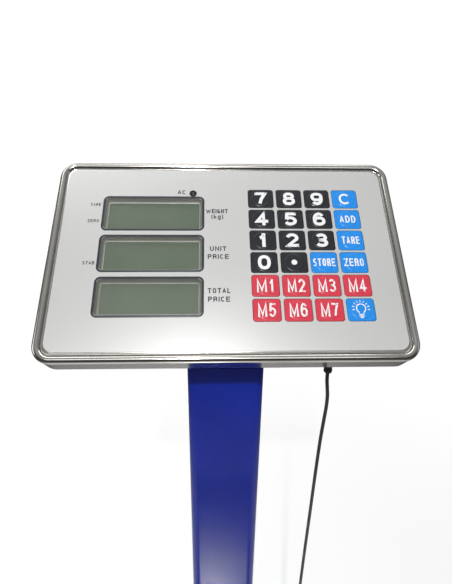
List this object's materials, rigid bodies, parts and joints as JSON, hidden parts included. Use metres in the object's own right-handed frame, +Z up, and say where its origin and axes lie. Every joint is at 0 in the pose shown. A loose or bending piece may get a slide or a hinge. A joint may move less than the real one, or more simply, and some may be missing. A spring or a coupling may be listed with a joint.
{
  "type": "price computing platform scale",
  "caption": "Platform scale with a tilted stainless display and keypad head on a blue column over a steel weighing platter.",
  "frame": {"origin": "centre of the footprint on the floor, under the levelling feet", "axes": "+Z up, -Y towards the user who faces the display, +X to that user's right"},
  "size_m": [0.4, 0.6096, 0.9986],
  "materials": {
    "base_paint": "dark grey powder coat",
    "load_cell_metal": "milled aluminium",
    "fastener": "zinc plated steel",
    "platter_steel": "brushed stainless steel",
    "rubber": "matt black rubber",
    "foot": "rubber pad on a zinc plated stem",
    "level": "clear bubble level",
    "column_paint": "glossy blue powder coat",
    "head_steel": "polished stainless steel",
    "cover_steel": "satin stainless steel",
    "overlay_film": "silver grey printed film, satin",
    "circuit_board": "green solder mask",
    "lcd": "grey green liquid crystal panel",
    "led": "dark lens",
    "battery_case": "black sealed battery case",
    "black_plastic": "black moulded plastic",
    "cable_rubber": "matt black moulded grommet",
    "cable_pvc": "black cable jacket",
    "key_black": "embossed glossy film key, black",
    "key_blue": "embossed glossy film key, blue",
    "key_red": "embossed glossy film key, red"
  },
  "bodies": {
    "root": {"base_rail_left": "base_paint", "base_rail_right": "base_paint", "base_cross_front": "base_paint", "base_cross_rear": "base_paint", "load_cell_bed": "base_paint", "load_cell": "load_cell_metal", "load_cell_bolts": "fastener", "spider_spine": "base_paint", "spider_arm_front": "base_paint", "spider_arm_rear": "base_paint", "platter_pads": "rubber", "foot_nuts": "fastener", "bubble_level": "level", "column_foot": "column_paint", "column_bolts": "fastener", "column": "column_paint", "head_bracket": "column_paint", "head_screws": "fastener", "head_shell": "head_steel", "back_cover": "cover_steel", "face_overlay": "overlay_film", "front_board": "circuit_board", "lcd_panels": "lcd", "charge_led": "led", "battery": "battery_case", "power_switch": "black_plastic", "power_jack": "black_plastic", "cable_gland": "cable_rubber", "load_cell_cable": "cable_pvc", "base_gland": "cable_rubber"},
    "platter": {"platter": "platter_steel"},
    "foot_front_left": {"foot_front_left": "foot"},
    "foot_front_right": {"foot_front_right": "foot"},
    "foot_rear_left": {"foot_rear_left": "foot"},
    "foot_rear_right": {"foot_rear_right": "foot"},
    "power_rocker": {"power_rocker": "black_plastic"},
    "key_7": {"key_7": "key_black"},
    "key_8": {"key_8": "key_black"},
    "key_9": {"key_9": "key_black"},
    "key_c": {"key_c": "key_blue"},
    "key_4": {"key_4": "key_black"},
    "key_5": {"key_5": "key_black"},
    "key_6": {"key_6": "key_black"},
    "key_add": {"key_add": "key_blue"},
    "key_1": {"key_1": "key_black"},
    "key_2": {"key_2": "key_black"},
    "key_3": {"key_3": "key_black"},
    "key_tare": {"key_tare": "key_blue"},
    "key_0": {"key_0": "key_black"},
    "key_dot": {"key_dot": "key_black"},
    "key_store": {"key_store": "key_blue"},
    "key_zero": {"key_zero": "key_blue"},
    "key_m1": {"key_m1": "key_red"},
    "key_m2": {"key_m2": "key_red"},
    "key_m3": {"key_m3": "key_red"},
    "key_m4": {"key_m4": "key_red"},
    "key_m5": {"key_m5": "key_red"},
    "key_m6": {"key_m6": "key_red"},
    "key_m7": {"key_m7": "key_red"},
    "key_lamp": {"key_lamp": "key_blue"}
  },
  "joints": [
    {"name": "key_7_press", "type": "slide", "parent": "root", "child": "key_7", "axis": [0, 0.7071, -0.7071], "range_m": [0, 0.0005], "stiffness_N_per_m": 3000},
    {"name": "key_8_press", "type": "slide", "parent": "root", "child": "key_8", "axis": [0, 0.7071, -0.7071], "range_m": [0, 0.0005], "stiffness_N_per_m": 3000},
    {"name": "key_9_press", "type": "slide", "parent": "root", "child": "key_9", "axis": [0, 0.7071, -0.7071], "range_m": [0, 0.0005], "stiffness_N_per_m": 3000},
    {"name": "key_c_press", "type": "slide", "parent": "root", "child": "key_c", "axis": [0, 0.7071, -0.7071], "range_m": [0, 0.0005], "stiffness_N_per_m": 3000},
    {"name": "key_4_press", "type": "slide", "parent": "root", "child": "key_4", "axis": [0, 0.7071, -0.7071], "range_m": [0, 0.0005], "stiffness_N_per_m": 3000},
    {"name": "key_5_press", "type": "slide", "parent": "root", "child": "key_5", "axis": [0, 0.7071, -0.7071], "range_m": [0, 0.0005], "stiffness_N_per_m": 3000},
    {"name": "key_6_press", "type": "slide", "parent": "root", "child": "key_6", "axis": [0, 0.7071, -0.7071], "range_m": [0, 0.0005], "stiffness_N_per_m": 3000},
    {"name": "key_add_press", "type": "slide", "parent": "root", "child": "key_add", "axis": [0, 0.7071, -0.7071], "range_m": [0, 0.0005], "stiffness_N_per_m": 3000},
    {"name": "key_1_press", "type": "slide", "parent": "root", "child": "key_1", "axis": [0, 0.7071, -0.7071], "range_m": [0, 0.0005], "stiffness_N_per_m": 3000},
    {"name": "key_2_press", "type": "slide", "parent": "root", "child": "key_2", "axis": [0, 0.7071, -0.7071], "range_m": [0, 0.0005], "stiffness_N_per_m": 3000},
    {"name": "key_3_press", "type": "slide", "parent": "root", "child": "key_3", "axis": [0, 0.7071, -0.7071], "range_m": [0, 0.0005], "stiffness_N_per_m": 3000},
    {"name": "key_tare_press", "type": "slide", "parent": "root", "child": "key_tare", "axis": [0, 0.7071, -0.7071], "range_m": [0, 0.0005], "stiffness_N_per_m": 3000},
    {"name": "key_0_press", "type": "slide", "parent": "root", "child": "key_0", "axis": [0, 0.7071, -0.7071], "range_m": [0, 0.0005], "stiffness_N_per_m": 3000},
    {"name": "key_dot_press", "type": "slide", "parent": "root", "child": "key_dot", "axis": [0, 0.7071, -0.7071], "range_m": [0, 0.0005], "stiffness_N_per_m": 3000},
    {"name": "key_store_press", "type": "slide", "parent": "root", "child": "key_store", "axis": [0, 0.7071, -0.7071], "range_m": [0, 0.0005], "stiffness_N_per_m": 3000},
    {"name": "key_zero_press", "type": "slide", "parent": "root", "child": "key_zero", "axis": [0, 0.7071, -0.7071], "range_m": [0, 0.0005], "stiffness_N_per_m": 3000},
    {"name": "key_m1_press", "type": "slide", "parent": "root", "child": "key_m1", "axis": [0, 0.7071, -0.7071], "range_m": [0, 0.0005], "stiffness_N_per_m": 3000},
    {"name": "key_m2_press", "type": "slide", "parent": "root", "child": "key_m2", "axis": [0, 0.7071, -0.7071], "range_m": [0, 0.0005], "stiffness_N_per_m": 3000},
    {"name": "key_m3_press", "type": "slide", "parent": "root", "child": "key_m3", "axis": [0, 0.7071, -0.7071], "range_m": [0, 0.0005], "stiffness_N_per_m": 3000},
    {"name": "key_m4_press", "type": "slide", "parent": "root", "child": "key_m4", "axis": [0, 0.7071, -0.7071], "range_m": [0, 0.0005], "stiffness_N_per_m": 3000},
    {"name": "key_m5_press", "type": "slide", "parent": "root", "child": "key_m5", "axis": [0, 0.7071, -0.7071], "range_m": [0, 0.0005], "stiffness_N_per_m": 3000},
    {"name": "key_m6_press", "type": "slide", "parent": "root", "child": "key_m6", "axis": [0, 0.7071, -0.7071], "range_m": [0, 0.0005], "stiffness_N_per_m": 3000},
    {"name": "key_m7_press", "type": "slide", "parent": "root", "child": "key_m7", "axis": [0, 0.7071, -0.7071], "range_m": [0, 0.0005], "stiffness_N_per_m": 3000},
    {"name": "key_lamp_press", "type": "slide", "parent": "root", "child": "key_lamp", "axis": [0, 0.7071, -0.7071], "range_m": [0, 0.0005], "stiffness_N_per_m": 3000},
    {"name": "foot_front_left_screw", "type": "slide", "parent": "root", "child": "foot_front_left", "axis": [0, 0, -1], "range_m": [0, 0.012]},
    {"name": "foot_front_right_screw", "type": "slide", "parent": "root", "child": "foot_front_right", "axis": [0, 0, -1], "range_m": [0, 0.012]},
    {"name": "foot_rear_left_screw", "type": "slide", "parent": "root", "child": "foot_rear_left", "axis": [0, 0, -1], "range_m": [0, 0.012]},
    {"name": "foot_rear_right_screw", "type": "slide", "parent": "root", "child": "foot_rear_right", "axis": [0, 0, -1], "range_m": [0, 0.012]},
    {"name": "platter_lift", "type": "slide", "parent": "root", "child": "platter", "axis": [0, 0, 1], "range_m": [0, 0.08]},
    {"name": "power_rocker_tilt", "type": "hinge", "parent": "root", "child": "power_rocker", "pos_m": [0.076, 0.25518, 0.809], "axis": [0, 1, 0], "range_deg": [0, 16]}
  ]
}
